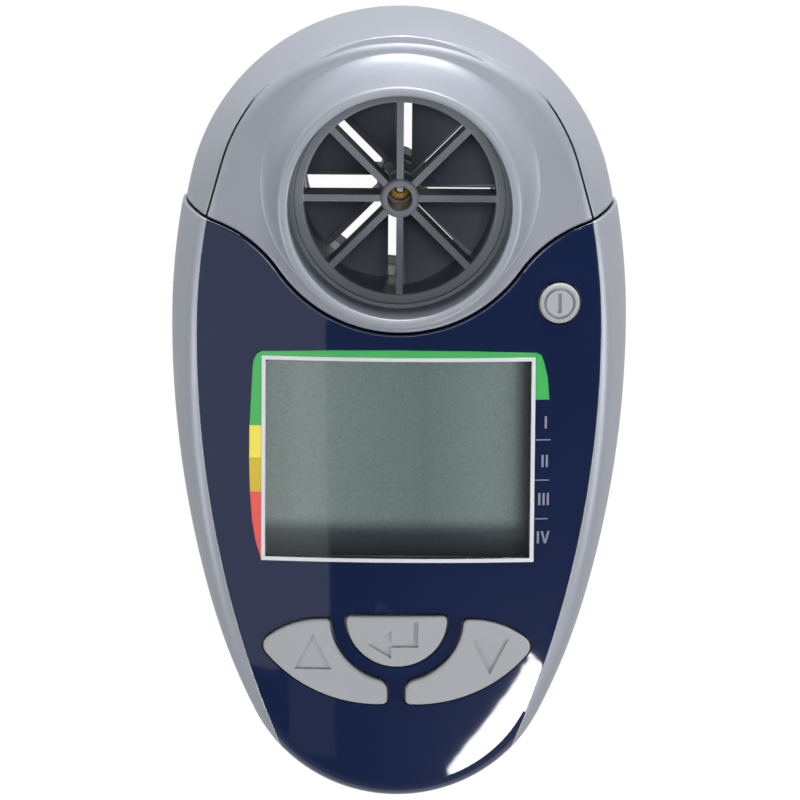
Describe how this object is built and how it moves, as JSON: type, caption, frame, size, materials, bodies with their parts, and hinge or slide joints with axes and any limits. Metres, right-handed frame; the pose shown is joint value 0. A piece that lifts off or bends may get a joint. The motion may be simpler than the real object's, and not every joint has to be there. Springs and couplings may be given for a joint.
{
  "type": "lung function monitor",
  "caption": "Hand-held lung function monitor: egg-shaped body with display and keys, and a pull-off flow head whose turbine tube goes through it.",
  "frame": {"origin": "under the middle of the outline, on the surface that the rear rests on", "axes": "X across the width, +Y towards the flow head, +Z out of the face"},
  "size_m": [0.0638, 0.112, 0.048],
  "materials": {
    "silver_shell": "satin silver-grey, fine moulded grain",
    "navy_gloss": "glossy navy",
    "key_grey": "matt light grey",
    "clear_window": "clear polished window",
    "clear_tube": "clear polished tube",
    "lcd_grey": "grey-green display, unlit",
    "white_plastic": "white moulded plastic",
    "black_plastic": "black moulded plastic",
    "board_green": "green lacquered board",
    "black_rubber": "black rubber",
    "bright_steel": "bright steel",
    "cell_wrap": "printed steel can, plain black and copper bands",
    "bearing_brass": "turned brass",
    "vane_plastic": "dark thin moulding"
  },
  "bodies": {
    "root": {"rear_case": "silver_shell", "front_case": "silver_shell", "fascia": "navy_gloss", "display_window": "clear_window", "lcd_panel": "lcd_grey", "display_carrier": "white_plastic", "contact_strips": "black_rubber", "circuit_board": "board_green", "main_chips": "black_plastic", "crystal": "bright_steel", "buzzer": "black_plastic", "optical_emitter": "black_plastic", "optical_detector": "black_plastic", "sensor_holder": "black_plastic", "key_switches": "black_plastic", "battery_tray": "white_plastic", "battery_left": "cell_wrap", "battery_right": "cell_wrap", "battery_springs": "bright_steel", "battery_contacts": "bright_steel", "case_screws": "bright_steel"},
    "flow_head": {"head_shell": "silver_shell", "head_cover": "silver_shell", "cover_screws": "bright_steel", "sleeve_seal": "black_rubber", "cartridge_seal": "black_rubber", "front_stator": "silver_shell", "swirl_stator": "black_plastic", "rotor_tube": "clear_tube", "rear_stator": "black_plastic", "front_bearing": "bearing_brass", "rear_bearing": "bearing_brass"},
    "rotor": {"rotor_shaft": "bright_steel", "rotor_vane": "vane_plastic"},
    "door": {"battery_door": "silver_shell"},
    "up_button": {"key_up": "key_grey"},
    "enter_button": {"key_enter": "key_grey"},
    "down_button": {"key_down": "key_grey"},
    "on_button": {"power_button": "key_grey"}
  },
  "joints": [
    {"name": "head_slide", "type": "slide", "parent": "root", "child": "flow_head", "axis": [0, 1, 0], "range_m": [0, 0.027]},
    {"name": "rotor_spin", "type": "hinge", "parent": "flow_head", "child": "rotor", "pos_m": [0, 0.032, 0.0147], "axis": [0, 0, 1], "continuous": true},
    {"name": "door_slide", "type": "slide", "parent": "root", "child": "door", "axis": [0, -1, 0], "range_m": [0, 0.06]},
    {"name": "up_press", "type": "slide", "parent": "root", "child": "up_button", "axis": [0, 0, -1], "range_m": [0, 0.0006], "stiffness_N_per_m": 1500},
    {"name": "enter_press", "type": "slide", "parent": "root", "child": "enter_button", "axis": [0, 0, -1], "range_m": [0, 0.0006], "stiffness_N_per_m": 1500},
    {"name": "down_press", "type": "slide", "parent": "root", "child": "down_button", "axis": [0, 0, -1], "range_m": [0, 0.0006], "stiffness_N_per_m": 1500},
    {"name": "power_press", "type": "slide", "parent": "root", "child": "on_button", "axis": [0, 0, -1], "range_m": [0, 0.0006], "stiffness_N_per_m": 1500}
  ]
}
